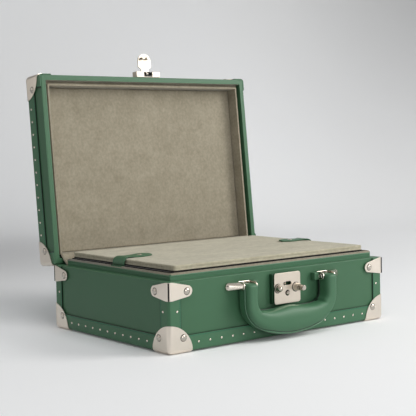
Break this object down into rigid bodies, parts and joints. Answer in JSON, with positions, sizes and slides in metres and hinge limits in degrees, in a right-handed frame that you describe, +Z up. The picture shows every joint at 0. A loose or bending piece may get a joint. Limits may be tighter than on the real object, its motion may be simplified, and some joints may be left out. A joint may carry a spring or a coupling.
{
  "type": "watch briefcase",
  "caption": "Leather-covered case for watches, stood open: hinged lid with a hasp, front lock, hanging handle, nickel corners and a strapped padded cover over a tray.",
  "frame": {"origin": "middle of the bounding box's underside, on the surface that the case stands on", "axes": "+X to the right across the front, +Y from the front to the hinges, +Z up"},
  "size_m": [0.404, 0.387, 0.4195],
  "materials": {
    "leather": "satin grained green leather over board",
    "binding": "satin green leather strip",
    "handle_leather": "satin green leather, padded",
    "nickel": "polished nickel plate",
    "steel": "plain steel",
    "suede": "matt suede",
    "panel_suede": "matt suede over padding"
  },
  "bodies": {
    "base": {"base_shell": "leather", "base_edge_binding": "binding", "base_cap_front_left": "nickel", "base_cap_front_right": "nickel", "base_cap_back_left": "nickel", "base_cap_back_right": "nickel", "base_bracket_front_left": "nickel", "base_bracket_front_right": "nickel", "base_bracket_back_left": "nickel", "base_bracket_back_right": "nickel", "base_lip": "leather", "base_liner": "suede", "watch_tray": "suede", "tray_divider": "suede", "watch_cushion_1": "panel_suede", "watch_cushion_2": "panel_suede", "watch_cushion_3": "panel_suede", "watch_cushion_4": "panel_suede", "watch_cushion_5": "panel_suede", "watch_cushion_6": "panel_suede", "watch_cushion_7": "panel_suede", "watch_cushion_8": "panel_suede", "strap_root_left": "leather", "strap_root_right": "leather", "lock_housing": "leather", "lock_plate": "nickel", "handle_mount_left": "nickel", "handle_mount_right": "nickel", "handle_pin_left": "nickel", "handle_pin_right": "nickel", "hinge_lower_leaf_left": "nickel", "hinge_lower_leaf_right": "nickel", "hinge_pin_left": "steel", "hinge_pin_right": "steel", "hinge_flap": "suede"},
    "lid": {"lid_shell": "leather", "lid_edge_binding": "binding", "lid_cap_front_left": "nickel", "lid_cap_front_right": "nickel", "lid_cap_back_left": "nickel", "lid_cap_back_right": "nickel", "lid_liner": "suede", "lid_lining": "suede", "hinge_upper_leaf_left": "nickel", "hinge_upper_leaf_right": "nickel", "hasp_base": "nickel", "hasp_pin": "steel"},
    "hasp": {"hasp_tongue": "nickel"},
    "carry_handle": {"handle": "handle_leather"},
    "cover": {"cover_panel": "panel_suede"},
    "strap_tab_left": {"strap_left": "leather", "strap_stud_left": "nickel"},
    "strap_tab_right": {"strap_right": "leather", "strap_stud_right": "nickel"},
    "release_knob": {"lock_knob_right": "nickel"},
    "push_knob": {"lock_knob_left": "nickel"},
    "latch": {"latch_bolt": "steel"},
    "key_barrel": {"key_cylinder": "nickel"}
  },
  "joints": [
    {"name": "lid_hinge", "type": "hinge", "parent": "base", "child": "lid", "pos_m": [0, 0.12029, 0.09525], "axis": [-1, 0, 0], "range_deg": [-95.64, 0], "deforming": ["hinge_flap"]},
    {"name": "hasp_hinge", "type": "hinge", "parent": "lid", "child": "hasp", "pos_m": [0, 0.15502, 0.38645], "axis": [-1, 0, 0], "range_deg": [-90, 30]},
    {"name": "handle_hinge", "type": "hinge", "parent": "base", "child": "carry_handle", "pos_m": [0, -0.17771, 0.0795], "axis": [-1, 0, 0], "range_deg": [0, 120]},
    {"name": "cover_lift", "type": "slide", "parent": "base", "child": "cover", "axis": [0, 0, 1], "range_m": [0, 0.018]},
    {"name": "strap_left_bend", "type": "hinge", "parent": "base", "child": "strap_tab_left", "pos_m": [-0.1811, -0.02371, 0.106], "axis": [0, -1, 0], "range_deg": [0, 85]},
    {"name": "strap_right_bend", "type": "hinge", "parent": "base", "child": "strap_tab_right", "pos_m": [0.1811, -0.02371, 0.106], "axis": [0, 1, 0], "range_deg": [0, 85]},
    {"name": "release_knob_push", "type": "slide", "parent": "base", "child": "release_knob", "axis": [0, 1, 0], "range_m": [0, 0.005], "stiffness_N_per_m": 300},
    {"name": "latch_slide", "type": "slide", "parent": "base", "child": "latch", "axis": [1, 0, 0], "range_m": [0, 0.004]},
    {"name": "push_knob_push", "type": "slide", "parent": "base", "child": "push_knob", "axis": [0, 1, 0], "range_m": [0, 0.003], "stiffness_N_per_m": 300},
    {"name": "key_turn", "type": "hinge", "parent": "base", "child": "key_barrel", "pos_m": [0, -0.17551, 0.062], "axis": [0, 1, 0], "range_deg": [0, 90]}
  ],
  "couplings": [
    {"joint": "strap_left_bend", "follows": "cover_lift", "rad_per_m": 82.4},
    {"joint": "strap_right_bend", "follows": "cover_lift", "rad_per_m": 82.4},
    {"joint": "latch_slide", "follows": "release_knob_push", "ratio": 0.8}
  ]
}
